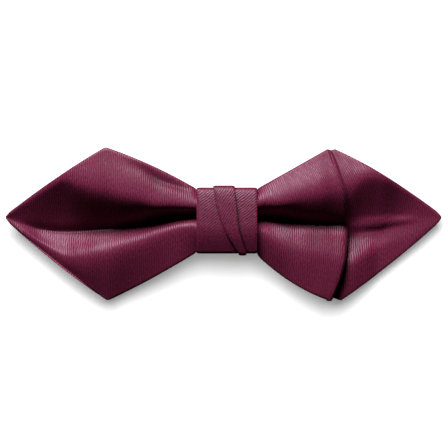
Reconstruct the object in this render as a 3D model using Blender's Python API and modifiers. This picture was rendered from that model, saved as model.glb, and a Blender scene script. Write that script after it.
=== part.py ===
"""Clip-on bow tie: a pointed wing and a looped wing, a three-turn knot and a sprung clip.

The bow is one long strip of two plies with an interlining between them. It is folded in a
flat Z (front span, middle span, rear span), pinched at the waist and bound with thread. A
knot band is wound round the waist, and a steel clip is sewn to the back of the knot.

The tie lies on its back. +X runs along the bow, +Y is up when it is worn and +Z points to
the front. The origin is the centre of the bottom of the part's box. Every size below is in
millimetres, and MM turns it into metres when a mesh is made.
"""

import math

import bmesh
import bpy
from mathutils import Vector

MM = 0.001

# Bow strip: thickness of each layer and the space between layers.
PLY = 0.24
INTERLINING = 0.24
LAYER_GAP = 0.17
FACE_OFFSET = INTERLINING / 2 + LAYER_GAP + PLY / 2
SEAM_OFFSET = LAYER_GAP / 2 + PLY / 2
FOLD_WIDTH = 0.8

# Knot band: a rounded tube section in Y and Z, centred here.
KNOT_Y = 0.95
KNOT_Z = 12.2
KNOT_SQUARENESS = 2.8
BAND = 0.45
INNER_TURN_HALF = (8.875, 6.025)
OUTER_TURN_HALF = (9.425, 6.575)
KNOT_LEFT = -7.5
KNOT_RIGHT = 9.1
KNOT_SEGMENTS = 24

# Thread that binds the pinched waist under the knot band.
WAIST_THREAD_RADIUS = 0.12
WAIST_THREAD_HALF = (8.38, 5.50)
WAIST_THREAD_TURNS = 3
WAIST_THREAD_SPAN = 3.0

# Zigzag of thread that closes the band's end on the back of the knot.
CLOSING_Y = 0.6
CLOSING_STEP = 0.8
CLOSING_HALF = 0.55
CLOSING_INSET = 1.3
CLOSING_RADIUS = 0.14

# Spring clip, centred under the knot.
CLIP_X = 0.8
BASE_BOTTOM = 4.4
BASE_THICK = 0.7
BASE_BAR_HALF = 21.0
BASE_BAR_Y = (-7.2, -1.4)
BASE_STEM_HALF = 6.0
BASE_STEM_TOP = 9.0
JAW_THICK = 0.6
JAW_BAR_HALF = 19.5
JAW_BAR_Y = (-7.9, -2.4)
JAW_STEM_HALF = 3.9
JAW_PAD_HALF = 5.5
JAW_PAD_Y = (3.2, 9.2)
JAW_LIP_TOP = 4.1
PIN_Y = 0.7
PIN_Z = 2.7
PIN_RADIUS = 0.6
PIN_HOLE_RADIUS = 0.7
PIN_HEAD_RADIUS = 0.95
EAR_THICK = 0.7
BASE_EAR_X = 4.55
JAW_EAR_X = 3.55
SPRING_RADIUS = 0.98
SPRING_WIRE = 0.225
SPRING_TURNS = 5
SPRING_HALF = 2.6
SPRING_LEG_END = 6.0
TACK_Y = -4.4
TACK_X = 5.0
TACK_HALF = 1.3
TACK_RADIUS = 0.2
TACK_HOLE_RADIUS = 0.55

# Positions across the strip, from its lower edge (0) through the valley (0.5) to its upper
# edge (1). The two rows next to the edges turn the plies in to the seam.
ROWS = (0.0, 0.07, 0.25, 0.375, 0.5, 0.625, 0.75, 0.93, 1.0)
CONTROL_ROWS = (0.0, 0.25, 0.5, 0.75, 1.0)

# Outlines seen from the front: (x, y, outward bulge of the stretch to the next point).
FRONT_TOP = ((-60, 2.6, 0.6), (-32.6, 21.1, 0.9), (-9.4, 10.4, 0), (-7.6, 8.8, 0),
             (9.2, 8.8, 0), (10.6, 10.3, 0), (29.2, 20.9, 0))
FRONT_BOTTOM = ((-60, 1.0, 0.9), (-32.3, -21.1, 0.5), (-9.4, -8.6, 0), (-7.6, -6.9, 0),
                (9.2, -6.9, 0), (10.6, -9.8, 1.3), (29.2, -21.1, 0))
MIDDLE_TOP = ((-28.6, 18.4, 0), (-9.4, 9.6, 0), (-7.6, 8.6, 0), (9.2, 8.6, 0),
              (10.6, 9.8, 0), (29.2, 20.9, 0))
MIDDLE_BOTTOM = ((-28.6, -18.6, 0), (-9.4, -8.0, 0), (-7.6, -6.7, 0), (9.2, -6.7, 0),
                 (10.6, -9.0, 0.8), (29.2, -21.1, 0))
REAR_TOP = ((-28.6, 18.4, 0), (-9.4, 8.6, 0), (-7.6, 6.55, 0), (9.2, 6.55, 0),
            (10.6, 8.6, 0), (30.5, 20.7, 1.1), (60, 2.6, 0))
REAR_BOTTOM = ((-28.6, -18.6, 0), (-9.4, -7.0, 0), (-7.6, -4.65, 0), (9.2, -4.65, 0),
               (10.6, -7.5, 0), (29.4, -20.0, 0), (32.2, -21.1, 0.9), (60, 1.0, 0))

# Pleats along each span, one row a station: x, height of the lower edge, lower crest,
# valley, upper crest and upper edge, valley's y, and how far out each crest lies between
# the valley and its edge (lower, upper).
FRONT_PLEATS = (
    (-60.0, 9.6, 9.6, 9.5, 9.7, 9.7, 1.8, 0.80, 0.80),
    (-56.3, 9.8, 9.8, 9.2, 11.2, 11.3, 0.4, 0.80, 0.90),
    (-50.8, 9.0, 9.3, 7.6, 12.9, 13.0, -1.8, 0.72, 0.92),
    (-45.2, 9.3, 9.8, 7.1, 15.0, 15.1, -2.0, 0.70, 0.92),
    (-39.7, 9.6, 11.4, 8.2, 16.7, 16.0, -2.0, 0.53, 0.71),
    (-34.2, 8.6, 12.4, 9.5, 17.6, 16.1, -1.7, 0.38, 0.55),
    (-28.7, 7.9, 12.6, 10.3, 18.0, 15.3, -1.4, 0.315, 0.48),
    (-23.2, 9.3, 13.2, 11.1, 18.0, 16.0, -0.5, 0.30, 0.447),
    (-17.7, 11.0, 14.0, 11.7, 17.8, 15.6, 1.1, 0.29, 0.34),
    (-12.1, 12.7, 14.7, 12.0, 17.2, 15.0, 2.1, 0.28, 0.34),
    (-9.4, 12.6, 15.0, 12.4, 16.9, 14.4, 2.4, 0.32, 0.38),
    (-7.6, 11.8, 16.25, 13.0, 16.45, 12.4, 1.0, 0.54, 0.55),
    (9.2, 11.8, 16.25, 13.0, 16.45, 12.4, 1.0, 0.54, 0.55),
    (10.6, 11.2, 14.6, 12.0, 17.0, 14.8, 1.3, 0.33, 0.53),
    (15.5, 11.2, 14.3, 12.3, 17.6, 15.1, 1.0, 0.46, 0.434),
    (21.0, 13.0, 14.3, 12.5, 17.4, 14.4, -0.4, 0.47, 0.49),
    (26.5, 13.0, 13.6, 11.8, 17.0, 13.3, -1.2, 0.46, 0.50),
    (31.0, 12.5, 13.0, 11.0, 15.9, 12.4, -1.2, 0.50, 0.51),
    (33.7, 12.4, 12.8, 10.8, 15.7, 12.3, -1.2, 0.52, 0.51),
)
MIDDLE_PLEATS = (
    (-31.0, 4.6, 7.4, 6.0, 10.0, 6.4, -1.4, 0.33, 0.48),
    (-22.0, 7.2, 10.6, 8.2, 12.5, 9.5, 0.3, 0.31, 0.42),
    (-15.0, 9.2, 11.6, 8.7, 13.4, 10.5, 1.7, 0.30, 0.36),
    (-10.0, 10.2, 12.6, 8.7, 13.6, 11.2, 2.5, 0.33, 0.40),
    (-7.6, 10.0, 14.05, 10.9, 14.25, 10.2, 1.0, 0.54, 0.53),
    (9.2, 10.0, 14.05, 10.9, 14.25, 10.2, 1.0, 0.54, 0.53),
    (10.6, 9.2, 12.2, 9.2, 13.8, 11.4, 1.8, 0.35, 0.49),
    (15.5, 8.9, 11.4, 8.8, 13.8, 11.2, 1.4, 0.47, 0.41),
    (21.0, 10.2, 11.4, 9.0, 13.8, 11.0, 0.0, 0.49, 0.48),
    (26.5, 10.6, 11.0, 8.8, 13.6, 10.5, -0.8, 0.48, 0.50),
    (33.7, 10.85, 10.4, 8.2, 13.3, 10.7, -1.2, 0.52, 0.51),
)
REAR_PLEATS = (
    (-31.0, 2.2, 5.0, 3.6, 7.6, 4.0, -1.4, 0.33, 0.48),
    (-22.0, 5.2, 8.3, 6.1, 10.0, 7.0, 0.4, 0.31, 0.43),
    (-15.0, 6.8, 9.2, 6.2, 10.4, 7.6, 1.9, 0.30, 0.42),
    (-10.0, 7.4, 9.9, 6.4, 10.4, 8.2, 2.6, 0.33, 0.46),
    (-7.6, 8.0, 11.2, 9.0, 11.4, 8.2, 1.0, 0.54, 0.53),
    (9.2, 8.0, 11.2, 9.0, 11.4, 8.2, 1.0, 0.54, 0.53),
    (10.6, 6.9, 9.6, 6.6, 10.5, 8.0, 2.0, 0.42, 0.54),
    (15.5, 6.6, 9.0, 6.2, 10.7, 7.8, 1.6, 0.47, 0.46),
    (21.0, 6.6, 9.0, 6.6, 11.3, 7.6, -0.2, 0.51, 0.49),
    (26.5, 6.9, 8.2, 6.0, 11.1, 7.6, -0.2, 0.50, 0.50),
    (31.0, 6.6, 7.6, 5.4, 10.6, 7.6, 0.0, 0.50, 0.56),
    (34.8, 6.4, 7.4, 5.2, 10.9, 8.6, 0.0, 0.50, 0.62),
    (38.9, 5.8, 6.3, 4.7, 11.4, 10.2, -1.0, 0.50, 0.80),
    (43.0, 5.2, 5.4, 4.6, 10.8, 10.8, -1.5, 0.50, 0.90),
    (48.6, 5.2, 5.3, 4.8, 8.2, 8.3, 0.8, 0.60, 0.92),
    (54.0, 5.9, 6.0, 5.8, 6.6, 6.7, 1.5, 0.70, 0.92),
    (60.0, 6.0, 6.0, 6.0, 6.0, 6.0, 1.8, 0.80, 0.90),
)

# Stations of the meshes along each span; a bend adds stations of its own at a fold.
FRONT_STATIONS = (-59.8, -58, -54, -48, -43, -38, -34, -31, -28, -22, -15, -10, -7.6, 1,
                  9.2, 11, 15.5, 21, 26.5, 30)
MIDDLE_STATIONS = (-26, -22, -15, -10, -7.6, 1, 9.2, 11, 15.5, 21, 26.5, 30)
REAR_STATIONS = (-26, -22, -15, -10, -7.6, 1, 9.2, 11, 15.5, 21, 26.5, 29.4, 32.3, 36, 39.5,
                 43, 48.6, 54, 58, 59.8)
# Angles round a fold, from its top: the span above has the first set, the one below the other.
BEND_ANGLES = (0, 26, 52, 78)
LOWER_BEND_ANGLES = (180, 154, 128, 102)

# Edges of the knot's turns at the front: height y, then x.
FIRST_EDGE = ((-8.0, 4.0), (-6.2, 2.8), (-1.1, 0.1), (4.8, -2.0), (10.3, -3.0))
SECOND_EDGE = ((-8.3, 6.2), (-4.7, 4.9), (-1.1, 4.0), (4.8, 3.5), (10.3, 2.95))
LEFT_TURN_TUCK = 1.4
RIGHT_TURN_TUCK = 1.3


def clear_scene():
    for old in list(bpy.data.objects):
        bpy.data.objects.remove(old, do_unlink=True)


def new_collection(name):
    group = bpy.data.collections.new(name)
    bpy.context.scene.collection.children.link(group)
    return group


def principled(name, color, roughness, metallic=0.0):
    material = bpy.data.materials.new(name)
    material.use_nodes = True
    shader = material.node_tree.nodes["Principled BSDF"]
    shader.inputs["Base Color"].default_value = (*color, 1.0)
    shader.inputs["Roughness"].default_value = roughness
    shader.inputs["Metallic"].default_value = metallic
    return material


def smooth_curve(xs, ys, x):
    """Value at x of a smooth curve through the points that never overshoots them."""
    if x <= xs[0]:
        return ys[0]
    if x >= xs[-1]:
        return ys[-1]
    slopes = [(ys[i + 1] - ys[i]) / (xs[i + 1] - xs[i]) for i in range(len(xs) - 1)]

    def tangent(i):
        if i == 0:
            return slopes[0]
        if i == len(xs) - 1:
            return slopes[-1]
        before, after = slopes[i - 1], slopes[i]
        if before * after <= 0:
            return 0.0
        return 2 * before * after / (before + after)

    i = max(k for k in range(len(xs) - 1) if xs[k] <= x)
    step = xs[i + 1] - xs[i]
    s = (x - xs[i]) / step
    start = (1 + 2 * s) * (1 - s) ** 2 * ys[i] + s * (1 - s) ** 2 * step * tangent(i)
    end = s * s * (3 - 2 * s) * ys[i + 1] + s * s * (s - 1) * step * tangent(i + 1)
    return start + end


def outline_height(points, x):
    """Height y of an outline at x: straight or bulging stretches between its points."""
    x = min(max(x, points[0][0]), points[-1][0])
    for (x0, y0, bulge), (x1, y1, _) in zip(points, points[1:]):
        if x <= x1:
            s = (x - x0) / (x1 - x0)
            outward = math.copysign(1.0, y0 + y1)
            return y0 + (y1 - y0) * s + outward * bulge * 4 * s * (1 - s)
    return points[-1][1]


class Span:
    """One run of the folded strip: a pleated surface over (x, across) with a fold line."""

    def __init__(self, top, bottom, pleats, left_fold=None, right_fold=None):
        self.top = top
        self.bottom = bottom
        self.columns = list(zip(*pleats))
        self.left_fold = left_fold
        self.right_fold = right_fold

    def section(self, x, edge_x):
        """Five control points (y, z) across the strip, lower edge first."""
        values = [smooth_curve(self.columns[0], column, x) for column in self.columns[1:]]
        z = values[:5]
        valley, lower_part, upper_part = values[5:]
        low = outline_height(self.bottom, edge_x)
        high = outline_height(self.top, edge_x)
        y = (low, valley + (low - valley) * lower_part, valley,
             valley + (high - valley) * upper_part, high)
        return y, z

    def fold_shift(self, x, across):
        """How far the fold's curve pulls a point in towards the waist."""
        for fold, side in ((self.left_fold, -1), (self.right_fold, 1)):
            if fold is None or x * side < 20:
                continue
            reach, corner = fold
            ramp = min((x * side - 20) / (reach - 20), 1.0)
            bow = abs(2 * across - 1) ** 2.2
            return -side * (reach - corner) * bow * ramp * ramp
        return 0.0

    def point(self, x, across):
        shift = self.fold_shift(x, across)
        y, z = self.section(x, x + self.fold_shift(x, 1.0))
        return Vector((x + shift, smooth_curve(CONTROL_ROWS, y, across),
                       smooth_curve(CONTROL_ROWS, z, across)))


RIGHT_FOLD = (33.7, 29.2)
LEFT_FOLD = (31.0, 28.6)
FRONT = Span(FRONT_TOP, FRONT_BOTTOM, FRONT_PLEATS, right_fold=RIGHT_FOLD)
MIDDLE = Span(MIDDLE_TOP, MIDDLE_BOTTOM, MIDDLE_PLEATS, LEFT_FOLD, RIGHT_FOLD)
REAR = Span(REAR_TOP, REAR_BOTTOM, REAR_PLEATS, left_fold=LEFT_FOLD)


def bend_points(upper, lower, side, angles):
    """Columns of points round a fold, from the end of the upper span to the lower one."""
    reach = RIGHT_FOLD[0] if side > 0 else LEFT_FOLD[0]
    columns = []
    for degrees in angles:
        angle = math.radians(degrees)
        share = (1 - math.cos(angle)) / 2
        column = []
        for across in ROWS:
            high = upper.point(side * reach, across)
            point = high.lerp(lower.point(side * reach, across), share)
            point.x -= side * FOLD_WIDTH * (1 - math.sin(angle))
            column.append(point)
        columns.append(column)
    return columns


def span_columns(span, stations):
    return [[span.point(x, across) for across in ROWS] for x in stations]


def front_columns():
    bend = bend_points(FRONT, MIDDLE, 1, BEND_ANGLES)
    return span_columns(FRONT, FRONT_STATIONS) + bend


def middle_columns():
    left = bend_points(MIDDLE, REAR, -1, BEND_ANGLES)
    right = bend_points(FRONT, MIDDLE, 1, LOWER_BEND_ANGLES)
    return left[::-1] + span_columns(MIDDLE, MIDDLE_STATIONS) + right


def rear_columns():
    left = bend_points(MIDDLE, REAR, -1, LOWER_BEND_ANGLES)
    return left[::-1] + span_columns(REAR, REAR_STATIONS)


def surface_normal(columns, i, j):
    """Normal of the grid of points at column i, row j, pointing to the front."""
    along = columns[min(i + 1, len(columns) - 1)][j] - columns[max(i - 1, 0)][j]
    across = columns[i][min(j + 1, len(ROWS) - 1)] - columns[i][max(j - 1, 0)]
    return along.cross(across).normalized()


def tidy_mesh(body, name):
    mesh = bpy.data.meshes.new(name)
    body.to_mesh(mesh)
    body.free()
    return mesh


def add_object(group, name, mesh, material):
    mesh.materials.append(material)
    made = bpy.data.objects.new(name, mesh)
    group.objects.link(made)
    return made


def add_solidify(made, thickness):
    shell = made.modifiers.new("thickness", "SOLIDIFY")
    shell.thickness = thickness * MM
    shell.offset = 0.0
    return shell


def ply(group, name, columns, side, material):
    """One ply of a span: side 1 is on its front, -1 on its back. Its edges meet the seam."""
    points = []
    for i, column in enumerate(columns):
        for j, point in enumerate(column):
            offset = SEAM_OFFSET if j in (0, len(ROWS) - 1) else FACE_OFFSET
            points.append(point + surface_normal(columns, i, j) * side * offset)
    return sheet(group, name, points, len(columns), len(ROWS), PLY, material)


def interlining(group, name, columns, material, skip=(1, 1)):
    """Middle layer of a span, set in from the seams and from its ends."""
    kept = columns[skip[0]:len(columns) - skip[1]]
    points = [point for column in kept for point in column[1:-1]]
    return sheet(group, name, points, len(kept), len(ROWS) - 2, INTERLINING, material)


def sheet(group, name, points, column_count, row_count, thickness, material):
    """Sheet through a grid of points, listed column by column, with a thickness."""
    body = bmesh.new()
    bmesh.ops.create_grid(body, x_segments=column_count - 1, y_segments=row_count - 1,
                          size=1.0)
    for vertex in body.verts:
        i = round((vertex.co.x + 1) / 2 * (column_count - 1))
        j = round((vertex.co.y + 1) / 2 * (row_count - 1))
        vertex.co = points[i * row_count + j] * MM
    bmesh.ops.triangulate(body, faces=body.faces[:], quad_method="FIXED")
    made = add_object(group, name, tidy_mesh(body, name), material)
    add_solidify(made, thickness)
    made.data.shade_smooth()
    return made


def ring_point(half, angle):
    """Point (y, z) on the knot's rounded section of the given half sizes."""
    power = 2 / KNOT_SQUARENESS
    y = math.copysign(abs(math.cos(angle)) ** power, math.cos(angle)) * half[0]
    z = math.copysign(abs(math.sin(angle)) ** power, math.sin(angle)) * half[1]
    return KNOT_Y + y, KNOT_Z + z


def edge_at(edge, y):
    heights, places = zip(*edge)
    return smooth_curve(heights, places, y)


def turn(group, name, half, left_edge, right_edge, material):
    """One turn of the knot band between two edges, each a function of the height y."""
    body = bmesh.new()
    bmesh.ops.create_cone(body, cap_ends=False, segments=KNOT_SEGMENTS, radius1=1.0,
                          radius2=1.0, depth=2.0)
    for vertex in body.verts:
        angle = math.atan2(vertex.co.y, vertex.co.x)
        y, z = ring_point(half, angle)
        edge = left_edge if vertex.co.z < 0 else right_edge
        vertex.co = Vector((edge(y), y, z)) * MM
    bmesh.ops.triangulate(body, faces=body.faces[:], quad_method="FIXED")
    made = add_object(group, name, tidy_mesh(body, name), material)
    add_solidify(made, BAND)
    made.data.shade_smooth()
    return made


def wire(group, name, points, radius, material, sides=1):
    """Round wire or thread through the points, as a curve with filled caps."""
    curve = bpy.data.curves.new(name, "CURVE")
    curve.dimensions = "3D"
    curve.bevel_depth = radius * MM
    curve.bevel_resolution = sides
    curve.use_fill_caps = True
    spline = curve.splines.new("POLY")
    spline.points.add(len(points) - 1)
    for slot, point in zip(spline.points, points):
        slot.co = (*(Vector(point) * MM), 1.0)
    curve.materials.append(material)
    made = bpy.data.objects.new(name, curve)
    group.objects.link(made)
    return made


def flat_plate(group, name, outline, bottom, thickness, material):
    """Plate from a closed outline in X and Y, as a mesh ready for Boolean cuts."""
    curve = bpy.data.curves.new(name, "CURVE")
    curve.dimensions = "2D"
    curve.fill_mode = "BOTH"
    curve.extrude = thickness / 2 * MM
    spline = curve.splines.new("POLY")
    spline.points.add(len(outline) - 1)
    for slot, (x, y) in zip(spline.points, outline):
        slot.co = (x * MM, y * MM, 0.0, 1.0)
    spline.use_cyclic_u = True
    draft = bpy.data.objects.new(name + "_outline", curve)
    group.objects.link(draft)
    draft.location.z = (bottom + thickness / 2) * MM
    bpy.context.view_layer.update()
    evaluated = draft.evaluated_get(bpy.context.evaluated_depsgraph_get())
    mesh = bpy.data.meshes.new_from_object(evaluated)
    body = bmesh.new()
    body.from_mesh(mesh)
    bmesh.ops.remove_doubles(body, verts=body.verts, dist=0.00001)
    body.to_mesh(mesh)
    body.free()
    made = add_object(group, name, mesh, material)
    made.matrix_world = draft.matrix_world.copy()
    bpy.data.objects.remove(draft, do_unlink=True)
    return made


def box_tool(tools, name, low, high):
    """Box between two corners, used to join or cut."""
    body = bmesh.new()
    bmesh.ops.create_cube(body, size=1.0)
    low, high = Vector(low) * MM, Vector(high) * MM
    for vertex in body.verts:
        vertex.co = (low + high) / 2 + Vector(vertex.co) * (high - low)
    return tool_object(tools, name, body)


def rod_tool(tools, name, centre, radius, length, axis):
    """Cylinder along X or Z, used to cut a hole."""
    body = bmesh.new()
    bmesh.ops.create_cone(body, cap_ends=True, segments=12, radius1=radius * MM,
                          radius2=radius * MM, depth=length * MM)
    made = tool_object(tools, name, body)
    made.location = Vector(centre) * MM
    if axis == "X":
        made.rotation_euler.y = math.pi / 2
    return made


def tool_object(tools, name, body):
    made = bpy.data.objects.new(name, tidy_mesh(body, name))
    tools.objects.link(made)
    made.hide_render = True
    made.display_type = "WIRE"
    return made


def combine(made, tool, operation):
    step = made.modifiers.new(tool.name, "BOOLEAN")
    step.operation = operation
    step.solver = "EXACT"
    step.object = tool


def rounded(corners, radius, steps=3):
    """Closed outline with each corner of the polygon replaced by a short arc."""
    outline = []
    count = len(corners)
    for i, corner in enumerate(corners):
        corner = Vector(corner)
        before = (Vector(corners[i - 1]) - corner).normalized()
        after = (Vector(corners[(i + 1) % count]) - corner).normalized()
        for k in range(steps + 1):
            s = k / steps
            weight_before = (1 - s) ** 2 * radius
            weight_after = s ** 2 * radius
            point = corner + before * weight_before + after * weight_after
            outline.append((point.x, point.y))
    return outline


def bow_strip(group, satin, lining):
    front, middle, rear = front_columns(), middle_columns(), rear_columns()
    ply(group, "front_span_face_ply", front, 1, satin)
    interlining(group, "front_span_interlining", front, lining, skip=(2, 1))
    ply(group, "front_span_back_ply", front, -1, satin)
    ply(group, "middle_span_back_ply", middle, 1, satin)
    interlining(group, "middle_span_interlining", middle, lining)
    ply(group, "middle_span_face_ply", middle, -1, satin)
    ply(group, "rear_span_face_ply", rear, 1, satin)
    interlining(group, "rear_span_interlining", rear, lining, skip=(1, 2))
    ply(group, "rear_span_back_ply", rear, -1, satin)


def knot(group, satin, thread):
    turn(group, "knot_left_turn", INNER_TURN_HALF,
         lambda y: KNOT_LEFT,
         lambda y: edge_at(FIRST_EDGE, y) + min(LEFT_TURN_TUCK, (y + 9.2) * 0.2), satin)
    turn(group, "knot_right_turn", INNER_TURN_HALF,
         lambda y: edge_at(SECOND_EDGE, y) - min(RIGHT_TURN_TUCK, (y + 14.0) * 0.2),
         lambda y: KNOT_RIGHT, satin)
    turn(group, "knot_middle_turn", OUTER_TURN_HALF,
         lambda y: edge_at(FIRST_EDGE, y),
         lambda y: edge_at(SECOND_EDGE, y), satin)

    points = []
    count = 16 * WAIST_THREAD_TURNS
    for k in range(count):
        y, z = ring_point(WAIST_THREAD_HALF, 2 * math.pi * k / 16)
        x = CLIP_X - WAIST_THREAD_SPAN / 2 + WAIST_THREAD_SPAN * k / count
        points.append((x, y, z))
    wire(group, "waist_binding_thread", points, WAIST_THREAD_RADIUS, thread)

    closing = []
    for k in range(8):
        y = CLOSING_Y + k * CLOSING_STEP
        side = CLOSING_HALF if k % 2 else -CLOSING_HALF
        closing.append((KNOT_RIGHT - CLOSING_INSET + side, y, KNOT_Z - closing_depth(y)))
    wire(group, "knot_closing_thread", closing, CLOSING_RADIUS, thread)


def closing_depth(y):
    """Depth under the knot's centre at which the closing thread lies on the right turn."""
    half_y = INNER_TURN_HALF[0] + BAND / 2
    half_z = INNER_TURN_HALF[1] + BAND / 2
    reach = abs(y - KNOT_Y) / half_y
    return half_z * (1 - reach ** KNOT_SQUARENESS) ** (1 / KNOT_SQUARENESS) + 0.3


def clip(group, tools, steel, spring_steel, thread):
    low, high = BASE_BAR_Y
    corners = [(CLIP_X - BASE_BAR_HALF, low), (CLIP_X + BASE_BAR_HALF, low),
               (CLIP_X + BASE_BAR_HALF, high), (CLIP_X + BASE_STEM_HALF, high),
               (CLIP_X + BASE_STEM_HALF, BASE_STEM_TOP),
               (CLIP_X - BASE_STEM_HALF, BASE_STEM_TOP),
               (CLIP_X - BASE_STEM_HALF, high), (CLIP_X - BASE_BAR_HALF, high)]
    base = flat_plate(group, "clip_base_plate", rounded(corners, 1.4), BASE_BOTTOM,
                      BASE_THICK, steel)
    for side, label in ((-1, "left"), (1, "right")):
        x = CLIP_X + side * BASE_EAR_X
        ear = box_tool(tools, f"base_ear_{label}", (x - EAR_THICK / 2, -1.0, 1.6),
                       (x + EAR_THICK / 2, 2.4, BASE_BOTTOM + 0.3))
        combine(base, ear, "UNION")
    for side in (-1, 1):
        for step in (-1, 1):
            x = CLIP_X + side * TACK_X + step * TACK_HALF
            hole = rod_tool(tools, f"tack_hole_{side}_{step}",
                            (x, TACK_Y, BASE_BOTTOM + BASE_THICK / 2), TACK_HOLE_RADIUS,
                            3.0, "Z")
            combine(base, hole, "DIFFERENCE")
    bore = rod_tool(tools, "pin_bore", (CLIP_X, PIN_Y, PIN_Z), PIN_HOLE_RADIUS, 14.0, "X")
    combine(base, bore, "DIFFERENCE")

    low, high = JAW_BAR_Y
    pad_low, pad_high = JAW_PAD_Y
    corners = [(-JAW_BAR_HALF, low), (JAW_BAR_HALF, low), (JAW_BAR_HALF, high),
               (JAW_STEM_HALF, high), (JAW_STEM_HALF, pad_low), (JAW_PAD_HALF, pad_low + 1),
               (JAW_PAD_HALF, pad_high), (-JAW_PAD_HALF, pad_high),
               (-JAW_PAD_HALF, pad_low + 1), (-JAW_STEM_HALF, pad_low),
               (-JAW_STEM_HALF, high), (-JAW_BAR_HALF, high)]
    outline = [(x + CLIP_X, y) for x, y in rounded(corners, 0.5, 2)]
    jaw = flat_plate(group, "clip_jaw", outline, 0.0, JAW_THICK, steel)
    lip_half = JAW_BAR_HALF - 0.6
    lip = box_tool(tools, "jaw_lip", (CLIP_X - lip_half, low + 0.05, 0.3),
                   (CLIP_X + lip_half, low + JAW_THICK, JAW_LIP_TOP))
    combine(jaw, lip, "UNION")
    for side, label in ((-1, "left"), (1, "right")):
        x = CLIP_X + side * JAW_EAR_X
        inner = x - side * EAR_THICK / 2
        outer = x + side * (EAR_THICK / 2 - 0.05)
        ear = box_tool(tools, f"jaw_ear_{label}", (min(inner, outer), -0.6, 0.3),
                       (max(inner, outer), 2.0, 3.8))
        combine(jaw, ear, "UNION")
    combine(jaw, bore, "DIFFERENCE")
    hinge = bpy.data.objects.new("clip_hinge_axis", None)
    group.objects.link(hinge)
    hinge.location = Vector((CLIP_X, PIN_Y, PIN_Z)) * MM
    jaw.parent = hinge
    jaw.location -= hinge.location

    pin(group, steel)
    spring(group, spring_steel)
    for side, label in ((-1, "left"), (1, "right")):
        x = CLIP_X + side * TACK_X
        bar = BASE_BOTTOM - 0.5
        top = BASE_BOTTOM + BASE_THICK + 0.65
        points = [(x - TACK_HALF, TACK_Y, top), (x - TACK_HALF, TACK_Y, bar + 0.3),
                  (x - TACK_HALF + 0.3, TACK_Y, bar), (x + TACK_HALF - 0.3, TACK_Y, bar),
                  (x + TACK_HALF, TACK_Y, bar + 0.3), (x + TACK_HALF, TACK_Y, top)]
        wire(group, f"clip_{label}_tack", points, TACK_RADIUS, thread)


def pin(group, steel):
    """Hinge pin with a head at each end, turned about X."""
    ear_end = BASE_EAR_X + EAR_THICK / 2 + 0.1
    head_end = ear_end + 0.4
    profile = [(head_end, 0), (head_end, PIN_HEAD_RADIUS), (ear_end, PIN_HEAD_RADIUS),
               (ear_end, PIN_RADIUS), (-ear_end, PIN_RADIUS), (-ear_end, PIN_HEAD_RADIUS),
               (-head_end, PIN_HEAD_RADIUS), (-head_end, 0)]
    body = bmesh.new()
    points = [body.verts.new((x * MM, radius * MM, 0)) for x, radius in profile]
    for first, second in zip(points, points[1:]):
        body.edges.new((first, second))
    made = add_object(group, "clip_hinge_pin", tidy_mesh(body, "clip_hinge_pin"), steel)
    made.location = Vector((CLIP_X, PIN_Y, PIN_Z)) * MM
    screw = made.modifiers.new("turned", "SCREW")
    screw.axis = "X"
    screw.steps = 16
    screw.render_steps = 16
    screw.use_merge_vertices = True
    screw.merge_threshold = 0.00001
    return made


def spring(group, spring_steel):
    """Torsion spring round the pin: its legs push the base stem and the jaw's pad apart."""
    upper_leg_z = BASE_BOTTOM - 0.3 - SPRING_WIRE
    lower_leg_z = JAW_THICK + 0.3 + SPRING_WIRE
    points = [(CLIP_X - SPRING_HALF, SPRING_LEG_END, upper_leg_z)]
    steps = 12 * SPRING_TURNS + 6
    for k in range(steps + 1):
        angle = 2 * math.pi * k / 12
        x = CLIP_X - SPRING_HALF + 2 * SPRING_HALF * k / steps
        points.append((x, PIN_Y - SPRING_RADIUS * math.sin(angle),
                       PIN_Z + SPRING_RADIUS * math.cos(angle)))
    points.append((CLIP_X + SPRING_HALF, SPRING_LEG_END, lower_leg_z))
    return wire(group, "clip_torsion_spring", points, SPRING_WIRE, spring_steel, sides=2)


def main():
    clear_scene()
    group = new_collection("bow_tie")
    tools = new_collection("cutters")
    satin = principled("burgundy_satin", (0.16, 0.012, 0.045), 0.42)
    lining = principled("interlining_felt", (0.62, 0.58, 0.52), 0.9)
    thread = principled("burgundy_thread", (0.12, 0.01, 0.03), 0.6)
    steel = principled("nickel_steel", (0.62, 0.61, 0.58), 0.28, 1.0)
    spring_steel = principled("spring_steel", (0.45, 0.45, 0.46), 0.35, 1.0)
    bow_strip(group, satin, lining)
    knot(group, satin, thread)
    clip(group, tools, steel, spring_steel, thread)


main()
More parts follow.
